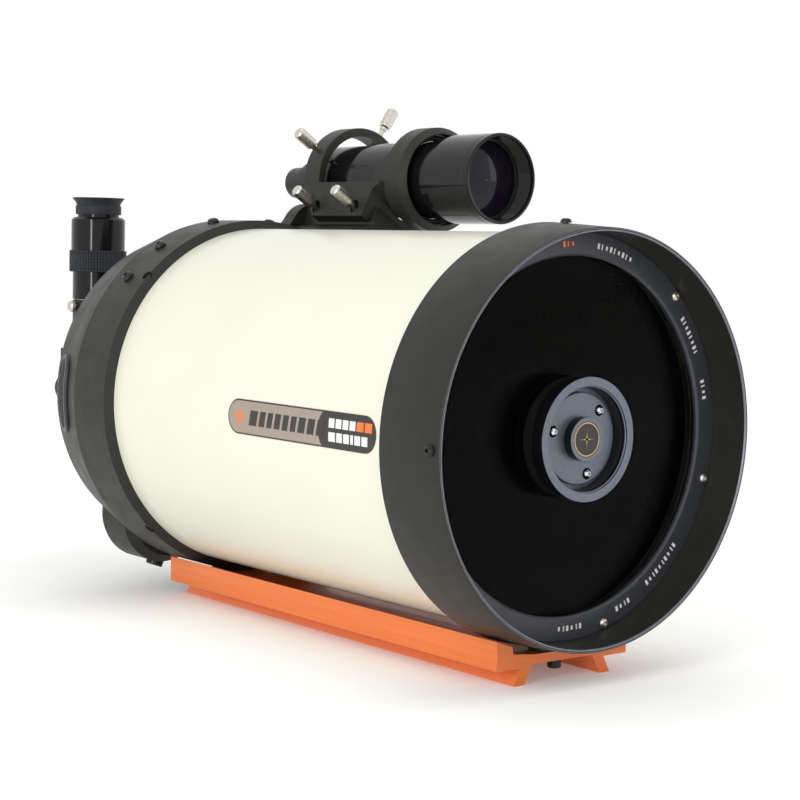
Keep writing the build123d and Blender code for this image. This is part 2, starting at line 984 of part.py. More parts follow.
with BuildPart() as eyepiece_grip:
    turn(
        eyepiece_axis,
        (18.65, grip_low + 0.05),
        (21.2, grip_low + 0.05),
        (21.2, grip_high - 0.05),
        (18.65, grip_high - 0.05),
    )
finish(eyepiece_grip, "eyepiece_grip")

with BuildPart() as eyepiece_cup:
    turn(
        eyepiece_axis,
        (15.45, 120.3),
        (16.9, 120.3),
        (16.9, 126.6),
        (15.9, 127.3),
        (19.1, 132.7),
        (17.9, 132.7),
        (14.2, 127.0),
        (15.45, 126.55),
    )
finish(eyepiece_cup, "eyepiece_cup")

with BuildPart() as eyepiece_lens:
    with BuildSketch(eyepiece_axis):
        with BuildLine():
            low_face = ThreePointArc(*dome(117.1, 78.0, 12.3))
            top_face = ThreePointArc(*hollow(123.1, 70.0, 12.3))
            Line(low_face @ 1, top_face @ 1)
            Line(top_face @ 0, low_face @ 0)
        make_face()
    revolve(axis=Axis(eyepiece_axis.origin, eyepiece_axis.y_dir))
finish(eyepiece_lens, "eyepiece_lens")

# ---------------------------------------------------------------- finder

finder_axis = along_plane(finder_radius * finder_cos, finder_radius * finder_sin)
bell_front = 196.0
bell_rear = 238.0
lens_seat = 220.0
ring_front = 255.0
ring_rear = 274.0
arch_front = 344.0
arch_rear = 361.0
trough_top = 152.6
trough_half = 29.6
tube_clearance_r = 29.0

with BuildPart() as finder_bell:
    turn(
        finder_axis,
        (27.5, bell_front),
        (finder_bell_r - 0.4, bell_front),
        (finder_bell_r, bell_front + 0.4),
        (finder_bell_r, bell_rear - 1),
        (finder_bell_r - 1, bell_rear),
        (finder_tube_r + 0.05, bell_rear),
        (finder_tube_r + 0.05, lens_seat),
        (27.5, lens_seat),
    )
finish(finder_bell, "finder_bell")

with BuildPart() as finder_lens:
    with BuildSketch(finder_axis):
        with BuildLine():
            lens_face = ThreePointArc(*dome(211.0, 118.0, 27.3))
            Polyline(lens_face @ 1, (27.3, lens_seat - 0.3), (0, lens_seat - 0.3), lens_face @ 0)
        make_face()
    revolve(axis=Axis(finder_axis.origin, finder_axis.y_dir))
finish(finder_lens, "finder_lens")

with BuildPart() as finder_tube:
    turn(
        finder_axis,
        (23.8, lens_seat + 0.1),
        (finder_tube_r, lens_seat + 0.1),
        (finder_tube_r, 324),
        (finder_rear_r, 325),
        (finder_rear_r, 368),
        (15, 377),
        (13, 378),
        (13, 388),
        (11.2, 388),
        (11.2, 375),
        (22.9, 366),
        (22.9, 325),
        (23.8, 324),
    )
finish(finder_tube, "finder_tube")

with BuildPart() as finder_eyepiece:
    turn(
        finder_axis,
        (8.0, 386),
        (11.1, 386),
        (11.1, 388.3),
        (15.0, 388.3),
        (15.0, 400),
        (11.6, 401.5),
        (11.0, 421),
        (9.2, 421.6),
        (8.0, 419),
    )
finish(finder_eyepiece, "finder_eyepiece")

o_ring_r = 2.1
with BuildPart() as finder_o_ring:
    ring_mid = finder_tube_r + 0.1 + o_ring_r
    with BuildSketch(finder_axis):
        with Locations((ring_mid, pivot_station)):
            Circle(o_ring_r)
    revolve(axis=Axis(finder_axis.origin, finder_axis.y_dir))
finish(finder_o_ring, "finder_o_ring")

clamp_stations = (342.5, 299.0)
clamp_distance = 136.9
clamp_seat = 20.8
saddle_stop = 363.5          # the wall behind the bracket begins here
saddle_rear = 375.5
saddle_front = 284.0
bracket_r = 34.5
web_rear = 290.0

with BuildPart() as finder_bracket:
    turn(
        finder_axis,
        (31.0, ring_rear - 1),
        (bracket_r, ring_rear - 1),
        (bracket_r, web_rear),
        (31.0, web_rear),
    )
    prism(
        side_plane(),
        (
            (262, finder_radius + 60),
            (262, finder_radius + 14),
            (290.5, trough_top),
            (291, finder_radius + 60),
        ),
        60,
        both=True,
        mode=Mode.SUBTRACT,
    )
    prism(
        saddle_plane(arch_rear),
        (
            (-trough_half, trough_top),
            (-20.5, rail_foot + 0.4),
            (20.5, rail_foot + 0.4),
            (trough_half, trough_top),
        ),
        arch_rear - ring_rear + 4,
    )
    prism(
        side_plane(),
        ((255, 158), (266, 158), (283, 147.8), (289.5, 133), (291, 127), (255, 127)),
        60,
        both=True,
        mode=Mode.SUBTRACT,
    )
    prism(
        side_plane(),
        ((346, 127), (346, rail_foot), (arch_rear, 151), (365, 151), (365, 127)),
        60,
        both=True,
        mode=Mode.SUBTRACT,
    )
    turn(
        finder_axis,
        (30.0, ring_front),
        (30.6, ring_front),
        (bracket_r, ring_front + 4),
        (bracket_r, ring_rear),
        (30.0, ring_rear),
    )
    turn(
        finder_axis,
        (31.2, arch_front),
        (36.4, arch_front),
        (37.0, arch_front + 0.6),
        (37.0, arch_rear - 0.6),
        (36.4, arch_rear),
        (31.2, arch_rear),
    )
    bore(finder_axis, tube_clearance_r, ring_rear - 12, arch_rear + 1)
    bore(finder_axis, 30.0, ring_front - 1, ring_rear)
    prism(
        saddle_plane(arch_rear + 1),
        (
            (-12.9, rail_foot - 1),
            (-16.5, rail_top + 0.35),
            (16.5, rail_top + 0.35),
            (12.9, rail_foot - 1),
        ),
        arch_rear - ring_rear + 12,
        mode=Mode.SUBTRACT,
    )
    bore(radial_plane(finder_angle, finder_screw_station), 2.0 + thread_play, 200, 215)
    bore(tangent_plane(finder_screw_station, finder_radius), 2.0 + thread_play, 28, 40)
    for station in clamp_stations:
        bore(tangent_plane(station, clamp_distance), 2.0 + thread_play, 12, 30)
        bore(tangent_plane(station, clamp_distance), 4.4, clamp_seat, 34)
finish(finder_bracket, "finder_bracket")

with BuildPart() as finder_shoe:
    prism(
        saddle_plane(saddle_rear - 1),
        (
            (-22, 108),
            (-22, 119),
            (-18, 124),
            (-12.4, rail_foot - 1.2),
            (-16, rail_top),
            (16, rail_top),
            (12.4, rail_foot - 1.2),
            (18, 124),
            (22, 119),
            (22, 108),
        ),
        saddle_rear - 1 - saddle_front,
    )
    with BuildSketch(saddle_plane(saddle_rear)):
        with BuildLine() as stop_edge:
            Polyline((-22.5, 108), (-22.5, 120), (-21.5, 128))
            Spline((-21.5, 128), (-19.3, 139.5), (-13.5, 146))
            Polyline((-13.5, 146), (13.5, 146))
            Spline((13.5, 146), (19.3, 139.5), (21.5, 128))
            Polyline((21.5, 128), (22.5, 120), (22.5, 108), (-22.5, 108))
        make_face()
    extrude(amount=saddle_rear - saddle_stop)
    bore(optical, rear_r + 0.04, saddle_front - 1, saddle_rear + 1)
    for station in shoe_screw_stations:
        bore(radial_plane(finder_angle, station), 2.3, 110, 136)
        bore(radial_plane(finder_angle, station), 4.2, 132, 145)
finish(finder_shoe, "finder_shoe")

with BuildPart() as finder_shoe_screws:
    for station in shoe_screw_stations:
        cap_screw(radial_plane(finder_angle, station), 132.05, 4.0, 4.0, 2.0, 21.0)
finish(finder_shoe_screws, "finder_shoe_screws")

screw_tip = finder_rear_r + 0.3

with BuildPart() as finder_screw_top:
    thumb_screw(
        radial_plane(finder_angle, finder_screw_station),
        finder_radius + screw_tip,
        finder_radius + 46.0,
        finder_radius + 61.5,
        2.0,
        4.2,
    )
finish(finder_screw_top, "finder_screw_top")

with BuildPart() as finder_screw_side:
    thumb_screw(
        tangent_plane(finder_screw_station, finder_radius), screw_tip, 43.5, 59.0, 2.0, 4.2
    )
finish(finder_screw_side, "finder_screw_side")

for station, end_name in zip(clamp_stations, ("rear", "front")):
    with BuildPart() as clamp_screw:
        thumb_screw(tangent_plane(station, clamp_distance), 15.8, 28.5, 43.8, 2.0, 4.2)
    finish(clamp_screw, f"finder_clamp_{end_name}")

# ---------------------------------------------------------------- dovetail bar

bar_web_top = -117.3
bar_web_bottom = -122.5

bar_half = (
    (48.4, -107.6),
    (48.4, -124.0),
    (30.9, -124.0),
    (35.9, -axis_height),
    (28.3, -axis_height),
    (22.3, bar_web_bottom),
)
bar_inner = ((20.0, bar_web_top), (36.6, -115.6), (37.4, -111.4))

with BuildPart() as dovetail_bar:
    right = bar_inner + bar_half
    left = tuple((-x, z) for x, z in reversed(right))
    prism(face_plane(bar_end), right + left, bar_end - bar_start)
    for station in bar_bolt_stations:
        bore(radial_plane(-90, station), bar_bolt_r + 0.3, 115, 125)
finish(dovetail_bar, "dovetail_bar")

with BuildPart() as dovetail_spacers:
    for station in bar_bolt_stations:
        prism(
            face_plane(station + 5),
            ((-15, bar_web_top + 0.02), (15, bar_web_top + 0.02), (15, -112), (-15, -112)),
            10,
        )
        bore(radial_plane(-90, station), bar_bolt_r + 0.3, 108, 120)
    bore(optical, rear_r + 0.02, 20, 360)
finish(dovetail_spacers, "dovetail_spacers")

with BuildPart() as dovetail_bolts:
    for station in bar_bolt_stations:
        cap_screw(radial_plane(-90, station), -bar_web_bottom + 0.05, 3.9, 5.6, bar_bolt_r, 10.5)
    lobe_plane = radial_plane(lobe_screw_angle, lobe_screw_station)
    cap_screw(lobe_plane, lobe_screw_seat + 0.05, lobe_screw_head_r, 8.5, 3.0, 8.0)
finish(dovetail_bolts, "dovetail_bolts")
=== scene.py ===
"""Schmidt-Cassegrain telescope: the looks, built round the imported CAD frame.

The row frame is in metres, with the aperture facing -Y and +Z up. Outlines are written in
millimetres and scaled by MM. A station is the distance behind the front rim, along the tube.
"""
import json
from math import cos, floor, pi, radians, sin, sqrt, tau

import bmesh
import bpy
from mathutils import Matrix, Vector
from mathutils.geometry import tessellate_polygon


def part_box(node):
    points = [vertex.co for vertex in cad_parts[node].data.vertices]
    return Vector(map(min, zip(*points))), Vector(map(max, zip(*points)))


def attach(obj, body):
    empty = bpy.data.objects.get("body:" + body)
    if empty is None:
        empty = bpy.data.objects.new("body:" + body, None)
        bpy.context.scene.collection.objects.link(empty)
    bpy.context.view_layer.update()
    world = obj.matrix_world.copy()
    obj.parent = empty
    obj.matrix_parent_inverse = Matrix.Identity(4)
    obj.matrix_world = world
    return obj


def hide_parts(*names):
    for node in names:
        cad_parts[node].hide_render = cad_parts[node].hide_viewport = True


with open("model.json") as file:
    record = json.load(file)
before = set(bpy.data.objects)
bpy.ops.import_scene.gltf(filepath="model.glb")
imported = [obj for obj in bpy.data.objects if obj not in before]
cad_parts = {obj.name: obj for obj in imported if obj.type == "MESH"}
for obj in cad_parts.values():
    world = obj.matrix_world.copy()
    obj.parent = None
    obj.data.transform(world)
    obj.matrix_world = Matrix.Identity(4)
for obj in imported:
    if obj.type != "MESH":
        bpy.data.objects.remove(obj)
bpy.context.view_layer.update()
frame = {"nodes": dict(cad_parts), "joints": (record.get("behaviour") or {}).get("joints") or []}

MM = 0.001
ROUND = 192                  # sides of a large turned piece
nodes = frame["nodes"]
joints = {joint["name"]: joint for joint in frame["joints"]}

# ---------------------------------------------------------------- places taken from the frame


def middle(node):
    """Centre of a CAD node's box."""
    low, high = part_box(node)
    return (low + high) / 2


tube_low, tube_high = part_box("tube_shell")
cell_low, cell_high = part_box("front_cell")
OPTICAL = Vector(((tube_low.x + tube_high.x) / 2, cell_low.y, (tube_low.z + tube_high.z) / 2))
TUBE_R = (tube_high.z - tube_low.z) / 2 / MM
FINDER = Vector((middle("finder_lens").x, cell_low.y, middle("finder_lens").z))


def aligned(origin, direction):
    """Matrix that puts local +Z along a direction and the origin at a place."""
    turn = Vector(direction).normalized().to_track_quat("Z", "Y").to_matrix().to_4x4()
    return Matrix.Translation(origin) @ turn


def beside(point):
    """Matrix for pieces turned about an axis parallel to the tube: local +Z runs to the back."""
    return aligned((point.x, OPTICAL.y, point.z), (0, 1, 0))


def joint_axis(name):
    """Origin and direction of a joint's axis."""
    joint = joints[name]
    return Vector(joint["pos_m"]), Vector(joint["axis"]).normalized()


def spans(node, origin, direction):
    """Lowest and highest point along an axis and largest distance from it, in millimetres."""
    heights = []
    radii = []
    for vertex in nodes[node].data.vertices:
        arm = vertex.co - origin
        height = arm.dot(direction)
        heights.append(height)
        radii.append((arm - direction * height).length)
    return min(heights) / MM, max(heights) / MM, max(radii) / MM


def station_span(node):
    """First and last station of a CAD node."""
    low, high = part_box(node)
    return (low.y - OPTICAL.y) / MM, (high.y - OPTICAL.y) / MM


# ---------------------------------------------------------------- materials


def look(name, color, roughness, metallic=0.0, **sockets):
    """A new material; sockets are further inputs of its shader, with underscores for spaces."""
    made = bpy.data.materials.new(name)
    made.use_nodes = True
    shader = made.node_tree.nodes["Principled BSDF"]
    shader.inputs["Base Color"].default_value = (*color, 1)
    shader.inputs["Roughness"].default_value = roughness
    shader.inputs["Metallic"].default_value = metallic
    for socket, value in sockets.items():
        shader.inputs[socket.replace("_", " ")].default_value = value
    return made


def node(made, kind, **values):
    """Adds a shader node; values are its inputs by name, with underscores for spaces."""
    added = made.node_tree.nodes.new(kind)
    for socket, value in values.items():
        added.inputs[socket.replace("_", " ")].default_value = value
    return added


def link(made, source, target):
    made.node_tree.links.new(source, target)


def places(made, stretch=(1, 1, 1)):
    """Object coordinates, stretched along the axes."""
    coordinates = node(made, "ShaderNodeTexCoord")
    mapping = node(made, "ShaderNodeMapping", Scale=stretch)
    link(made, coordinates.outputs["Object"], mapping.inputs["Vector"])
    return mapping.outputs["Vector"]


def grain(made, size, height, stretch=(1, 1, 1), detail=3.0):
    """Fine relief: bumps of a size and a height in millimetres."""
    texture = node(made, "ShaderNodeTexNoise", Scale=1 / (size * MM), Detail=detail)
    link(made, places(made, stretch), texture.inputs["Vector"])
    bump = node(made, "ShaderNodeBump", Distance=height * MM, Strength=1.0)
    link(made, texture.outputs["Fac"], bump.inputs["Height"])
    link(made, bump.outputs["Normal"], made.node_tree.nodes["Principled BSDF"].inputs["Normal"])


def vary(made, socket, size, low, high, stretch=(1, 1, 1)):
    """Lets a number wander between two values over patches of a size in millimetres."""
    texture = node(made, "ShaderNodeTexNoise", Scale=1 / (size * MM), Detail=4.0)
    link(made, places(made, stretch), texture.inputs["Vector"])
    span = node(made, "ShaderNodeMapRange", From_Min=0.3, From_Max=0.7, To_Min=low, To_Max=high)
    link(made, texture.outputs["Fac"], span.inputs["Value"])
    link(made, span.outputs["Result"], made.node_tree.nodes["Principled BSDF"].inputs[socket])


def tint(made, size, first, second, stretch=(1, 1, 1)):
    """Lets the colour wander between two colours over patches of a size in millimetres."""
    texture = node(made, "ShaderNodeTexNoise", Scale=1 / (size * MM), Detail=4.0)
    link(made, places(made, stretch), texture.inputs["Vector"])
    ramp = node(made, "ShaderNodeValToRGB")
    ramp.color_ramp.elements[0].position = 0.35
    ramp.color_ramp.elements[0].color = (*first, 1)
    ramp.color_ramp.elements[1].position = 0.65
    ramp.color_ramp.elements[1].color = (*second, 1)
    link(made, texture.outputs["Fac"], ramp.inputs["Fac"])
    link(made, ramp.outputs["Color"], made.node_tree.nodes["Principled BSDF"].inputs["Base Color"])


def powder_coat():
    made = look("powder_coat", (0.017, 0.0165, 0.014), 0.5, Specular_IOR_Level=0.27)
    tint(made, 1.1, (0.0145, 0.014, 0.0120), (0.0205, 0.020, 0.0170))
    vary(made, "Roughness", 14, 0.40, 0.52)
    grain(made, 0.9, 0.02)
    return made


def tube_paint():
    made = look("tube_paint", (0.68, 0.69, 0.57), 0.38, Coat_Weight=0.3, Coat_Roughness=0.14)
    tint(made, 60, (0.672, 0.678, 0.560), (0.688, 0.694, 0.578))
    vary(made, "Roughness", 30, 0.32, 0.40)
    grain(made, 3.5, 0.004, detail=1.0)
    return made


def vent_black():
    made = look("vent_black", (0.012, 0.012, 0.012), 0.36, Specular_IOR_Level=0.5)
    tint(made, 2.0, (0.010, 0.010, 0.010), (0.015, 0.015, 0.016))
    grain(made, 0.8, 0.006)
    return made


def flocked():
    made = look("flocked_black", (0.003, 0.003, 0.003), 1.0, Specular_IOR_Level=0.0)
    tint(made, 6.0, (0.0022, 0.0022, 0.0022), (0.0036, 0.0036, 0.0034))
    return made


def satin_black():
    made = look("satin_black", (0.014, 0.014, 0.016), 0.42, Specular_IOR_Level=0.35)
    tint(made, 1.2, (0.012, 0.012, 0.014), (0.017, 0.017, 0.020))
    vary(made, "Roughness", 9, 0.34, 0.46)
    grain(made, 0.45, 0.012)
    return made


def satin_slate():
    made = look("satin_slate", (0.030, 0.032, 0.040), 0.36, Specular_IOR_Level=0.5)
    tint(made, 1.2, (0.027, 0.029, 0.037), (0.033, 0.035, 0.043))
    vary(made, "Roughness", 6, 0.32, 0.40)
    return made


def gloss_black():
    made = look("gloss_black", (0.006, 0.006, 0.007), 0.13, Specular_IOR_Level=0.27)
    vary(made, "Roughness", 12, 0.10, 0.16)
    return made


def grey_metal():
    """Grey anodised end faces on a black piece: its sides and bores stay black."""
    made = look("grey_metal", (0.14, 0.155, 0.195), 0.34, metallic=0.6)
    nodes_in = made.node_tree.nodes
    texture = node(made, "ShaderNodeTexNoise", Scale=1 / (1.4 * MM), Detail=3.0)
    link(made, places(made, (1, 6, 1)), texture.inputs["Vector"])
    ramp = node(made, "ShaderNodeValToRGB")
    ramp.color_ramp.elements[0].position = 0.35
    ramp.color_ramp.elements[0].color = (0.130, 0.145, 0.185, 1)
    ramp.color_ramp.elements[1].position = 0.65
    ramp.color_ramp.elements[1].color = (0.155, 0.170, 0.210, 1)
    link(made, texture.outputs["Fac"], ramp.inputs["Fac"])
    facing = node(made, "ShaderNodeSeparateXYZ")
    geometry = node(made, "ShaderNodeNewGeometry")
    link(made, geometry.outputs["True Normal"], facing.inputs["Vector"])
    front = node(made, "ShaderNodeMapRange", From_Min=-0.55, From_Max=-0.45, To_Min=1.0, To_Max=0.0)
    link(made, facing.outputs["Y"], front.inputs["Value"])
    choice = node(made, "ShaderNodeMixRGB", Color1=(0.010, 0.010, 0.012, 1))
    link(made, front.outputs["Result"], choice.inputs["Fac"])
    link(made, ramp.outputs["Color"], choice.inputs["Color2"])
    link(made, choice.outputs["Color"], nodes_in["Principled BSDF"].inputs["Base Color"])
    vary(made, "Roughness", 5, 0.30, 0.40)
    return made


# Lighter grey metal for the band on the front lip: a painted highlight where the lip catches the light.
def painted_lip_highlight():
    made = look("painted_lip_highlight", (0.20, 0.205, 0.235), 0.34, metallic=0.4)
    tint(made, 2.0, (0.18, 0.185, 0.215), (0.22, 0.225, 0.255))
    return made


def orange_anodised():
    made = look("orange_anodised", (0.74, 0.165, 0.022), 0.36, metallic=0.1, Coat_Weight=0.15)
    tint(made, 1.4, (0.72, 0.155, 0.020), (0.77, 0.175, 0.026), stretch=(1, 0.02, 1))
    vary(made, "Roughness", 3, 0.28, 0.40, stretch=(1, 0.03, 1))
    grain(made, 0.7, 0.006, stretch=(1, 0.02, 1))
    return made


def bright_steel(name="bright_steel", color=(0.62, 0.59, 0.52), roughness=0.26):
    made = look(name, color, roughness, metallic=1.0)
    vary(made, "Roughness", 3.0, roughness * 0.85, roughness * 1.2)
    tint(made, 4.0, tuple(0.95 * c for c in color), tuple(1.03 * c for c in color))
    return made


def black_steel():
    made = look("black_steel", (0.02, 0.02, 0.02), 0.3, metallic=0.5)
    vary(made, "Roughness", 1.5, 0.22, 0.36)
    grain(made, 0.3, 0.004)
    return made


def brass():
    made = look("turned_brass", (0.70, 0.48, 0.18), 0.3, metallic=1.0)
    vary(made, "Roughness", 2.0, 0.22, 0.38)
    grain(made, 0.3, 0.004)
    return made


def rubber():
    made = look("rubber", (0.018, 0.020, 0.024), 0.62, Specular_IOR_Level=0.3)
    tint(made, 4.0, (0.015, 0.017, 0.021), (0.021, 0.023, 0.028))
    grain(made, 0.6, 0.01)
    return made


def ink(name, color, roughness=0.4):
    made = look(name, color, roughness)
    tint(made, 3.0, tuple(0.94 * c for c in color), tuple(min(1.0, 1.04 * c) for c in color))
    grain(made, 0.5, 0.003)
    return made


def coated_glass(name, color, level):
    """Clear glass with a thin coating that keeps its reflections low."""
    made = look(name, color, 0.0, Transmission_Weight=1.0, IOR=1.09, Specular_IOR_Level=level)
    tint(made, 40, tuple(0.99 * c for c in color), color)
    return made


def lens_coating():
    made = look("lens_coating", (0.010, 0.008, 0.016), 0.04, Specular_IOR_Level=0.25)
    tint(made, 18, (0.008, 0.006, 0.014), (0.014, 0.010, 0.022))
    vary(made, "Roughness", 10, 0.02, 0.06)
    return made


def silvered():
    made = look("silvered", (0.92, 0.93, 0.94), 0.02, metallic=1.0)
    vary(made, "Roughness", 25, 0.01, 0.03)
    return made


POWDER = powder_coat()
PAINT = tube_paint()
VENT = vent_black()
FLOCK = flocked()
SATIN = satin_black()
SLATE = satin_slate()
GLOSS = gloss_black()
GREY = grey_metal()
RIM = painted_lip_highlight()
ORANGE = orange_anodised()
STEEL = bright_steel()
CHROME = bright_steel("bright_chrome", (0.78, 0.78, 0.79), 0.12)
DARK_STEEL = black_steel()
BRASS = brass()
RUBBER = rubber()
CORRECTOR = coated_glass("corrector_glass", (0.93, 0.96, 0.95), 0.05)
COATING = lens_coating()
MIRROR = silvered()
GOLD = bright_steel("gold_foil", (0.55, 0.40, 0.20), 0.3)
INK_BLACK = ink("ink_black", (0.018, 0.016, 0.013))
INK_GREY = ink("ink_grey", (0.30, 0.245, 0.195), 0.38)
INK_ORANGE = ink("ink_orange", (0.86, 0.16, 0.02))
INK_WHITE = ink("ink_white", (0.74, 0.73, 0.70))

CAD_LOOKS = {
    POWDER: ("rear_cell", "finder_bracket", "finder_shoe"),
    SLATE: ("retaining_ring",),
    SATIN: (
        "mirror_carrier",
        "mirror_lock_ring",
        "dovetail_spacers",
        "diagonal_body",
        "diagonal_cover",
        "finder_eyepiece",
        "secondary_housing",
        "secondary_carrier",
    ),
    VENT: ("vent_grille_left", "vent_grille_right"),
    FLOCK: ("secondary_baffle", "baffle_tube"),
    GREY: ("secondary_mount",),
    GLOSS: ("eyepiece_body", "finder_tube"),
    STEEL: (
        "retaining_ring_screws",
        "clutch_rods",
        "focus_screw",
        "finder_shoe_screws",
    ),
    CHROME: (
        "collimation_screw_1",
        "collimation_screw_2",
        "collimation_screw_3",
        "diagonal_nosepiece",
        "eyepiece_barrel",
    ),
    DARK_STEEL: ("front_cell_screws", "rear_cell_screws", "tube_screws", "dovetail_bolts"),
    BRASS: ("focus_nut",),
    RUBBER: ("finder_o_ring",),
    CORRECTOR: ("corrector_plate",),
    COATING: ("finder_lens", "eyepiece_lens", "field_lens"),
    MIRROR: ("primary_mirror", "secondary_mirror", "diagonal_mirror"),
}
for surface, names in CAD_LOOKS.items():
    for name in names:
        nodes[name].data.materials.clear()
        nodes[name].data.materials.append(surface)

# ---------------------------------------------------------------- mesh helpers


def keep(mesh, name, surfaces, body, replaced=(), sharp=35):
    """Turns a mesh under construction into a piece that rides on a body."""
    bmesh.ops.recalc_face_normals(mesh, faces=mesh.faces)
    data = bpy.data.meshes.new(name)
    mesh.to_mesh(data)
    mesh.free()
    for surface in surfaces:
        data.materials.append(surface)
    data.polygons.foreach_set("use_smooth", [True] * len(data.polygons))
    data.set_sharp_from_angle(angle=radians(sharp))
    piece = bpy.data.objects.new(name, data)
    bpy.context.scene.collection.objects.link(piece)
    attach(piece, body)
    if replaced:
        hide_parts(*replaced)
    return piece


def eased(points, radius, steps=3):
    """The closed outline with each corner rounded by a small arc, where its sides are long enough."""
    result = []
    count = len(points)
    for index, point in enumerate(points):
        corner = Vector(point)
        before = Vector(points[index - 1]) - corner
        after = Vector(points[(index + 1) % count]) - corner
        reach = min(radius, 0.4 * before.length, 0.4 * after.length)
        on_axis = abs(corner.x) < 1e-6
        if on_axis or reach < 0.02:
            result.append(corner)
            continue
        start = corner + before.normalized() * reach
        end = corner + after.normalized() * reach
        for step in range(steps + 1):
            t = step / steps
            result.append(start * (1 - t) ** 2 + corner * 2 * t * (1 - t) + end * t**2)
    return result


def revolve(mesh, place, outline, sides=ROUND, relief=None, surface=0):
    """Adds a closed outline of (radius, height), in millimetres, turned about the place's +Z."""
    rings = []
    for radius, height in outline:
        if radius < 1e-6:
            rings.append([mesh.verts.new(place @ Vector((0, 0, height * MM)))])
            continue
        ring = []
        for side in range(sides):
            angle = tau * side / sides
            r = radius - (relief(angle, radius, height) if relief else 0.0)
            at = Vector((r * cos(angle), r * sin(angle), height)) * MM
            ring.append(mesh.verts.new(place @ at))
        rings.append(ring)
    for first, second in zip(rings, rings[1:] + rings[:1]):
        for side in range(sides):
            after = (side + 1) % sides
            if len(first) == 1 and len(second) == 1:
                break
            if len(first) == 1:
                corners = (first[0], second[side], second[after])
            elif len(second) == 1:
                corners = (first[side], first[after], second[0])
            else:
                corners = (first[side], first[after], second[after], second[side])
            mesh.faces.new(corners).material_index = surface


def turned(name, place, outline, surface, body, replaced=(), ease=0.3, sides=ROUND, relief=None):
    """A turned piece with eased corners."""
    mesh = bmesh.new()
    revolve(mesh, place, eased(outline, ease) if ease else outline, sides, relief)
    return keep(mesh, name, [surface], body, replaced)


def rows(radius, start, end, count):
    """Evenly spaced points of a straight stretch, for relief to work on."""
    return [(radius, start + (end - start) * step / count) for step in range(count + 1)]


def ridge(phase):
    """A triangle wave from 0 to 1 and back over each unit."""
    part = phase - floor(phase)
    return 1 - abs(2 * part - 1)


def diamond_knurl(count, depth, start, end, pitch):
    """Relief of crossed spiral grooves between two heights."""

    def relief(angle, radius, height):
        if not start < height < end:
            return 0.0
        turn = angle / tau * count
        rise = (height - start) / pitch
        return depth * (1 - min(ridge(turn + rise), ridge(turn - rise)) * 1.6) if depth else 0.0

    return lambda a, r, h: max(0.0, min(depth, relief(a, r, h)))


def flutes(count, depth, start, end, least=0.0):
    """Relief of straight grooves between two heights, on what lies outside the least radius."""

    def relief(angle, radius, height):
        if not start < height < end or radius < least:
            return 0.0
        return depth * max(0.0, 1 - 2.2 * ridge(angle / tau * count))

    return relief


def patch(mesh, rows_count, columns, edges, lift, drop, at, surface=0):
    """Adds a thin raised print: edges(v) gives its two ends in each row, at(u, v, lift) its place."""
    grid = []
    for row in range(rows_count + 1):
        v = row / rows_count
        left, right, height = edges(v)
        line = []
        for column in range(columns + 1):
            u = left + (right - left) * column / columns
            line.append((u, height))
        grid.append(line)
    top = [[mesh.verts.new(at(u, v, lift)) for u, v in line] for line in grid]
    base = [[mesh.verts.new(at(u, v, drop)) for u, v in line] for line in grid]
    for a in range(rows_count):
        for b in range(columns):
            ring = (top[a][b], top[a][b + 1], top[a + 1][b + 1], top[a + 1][b])
            mesh.faces.new(ring).material_index = surface
    loop = [(0, b) for b in range(columns)]
    loop += [(a, columns) for a in range(rows_count)]
    loop += [(rows_count, b) for b in range(columns, 0, -1)]
    loop += [(a, 0) for a in range(rows_count, 0, -1)]
    for (a, b), (c, d) in zip(loop, loop[1:] + loop[:1]):
        side = (top[a][b], top[c][d], base[c][d], base[a][b])
        mesh.faces.new(side).material_index = surface


# ---------------------------------------------------------------- tube and front cell

TUBE = beside(OPTICAL)
shell_start, shell_end = station_span("tube_shell")
cell_depth = station_span("front_cell")[1]
WALL = 1.6
BORE_R = 111.9
RIM_R = 114.0
LEDGE_R = 101.6              # the opening in front of the tube
GLASS_SEAT_R = 105.6
MARKS_R = 104.9              # where the retaining ring's marks lie
CELL_R = (cell_high.z - cell_low.z) / 2 / MM


def build_tube():
    mesh = bmesh.new()
    outer = [
        (TUBE_R - WALL / 2, shell_start),
        (TUBE_R, shell_start),
        (TUBE_R, shell_end),
        (TUBE_R - WALL / 2, shell_end),
    ]
    inner = [
        (TUBE_R - WALL / 2, shell_start),
        (TUBE_R - WALL / 2, shell_end),
        (TUBE_R - WALL, shell_end),
        (TUBE_R - WALL, shell_start),
    ]
    revolve(mesh, TUBE, outer, 256, surface=0)
    revolve(mesh, TUBE, inner, 256, surface=1)
    keep(mesh, "painted_tube", [PAINT, FLOCK], "optical_tube", ("tube_shell",))


def build_front_cell():
    seat = station_span("retaining_ring")[1]
    glass_back = station_span("corrector_plate")[1]
    corner = cell_depth - shell_start
    outline = [
        (BORE_R, 0),
        (RIM_R, 0),
        (CELL_R, cell_depth),
        (TUBE_R + 0.1, cell_depth),
        (TUBE_R + 0.1, cell_depth - corner - 0.4),
        (LEDGE_R, cell_depth - corner - 0.4),
        (LEDGE_R, glass_back),
        (GLASS_SEAT_R, glass_back),
        (GLASS_SEAT_R, seat),
        (BORE_R, seat),
    ]
    turned("front_ring", TUBE, outline, POWDER, "optical_tube", ("front_cell",), 0.8, 256)
    # A thin lighter band over the front lip's inner edge: a painted highlight of the light the lip
    # catches.
    groove = [
        (BORE_R - 0.02, 0.9),
        (BORE_R + 0.3, 0.25),
        (RIM_R - 0.5, 0.02),
        (RIM_R - 0.5, -0.0),
        (BORE_R + 0.2, 0.0),
        (BORE_R - 0.12, 0.8),
    ]
    turned("front_lip_highlight", TUBE, groove, RIM, "optical_tube", (), 0, 256)


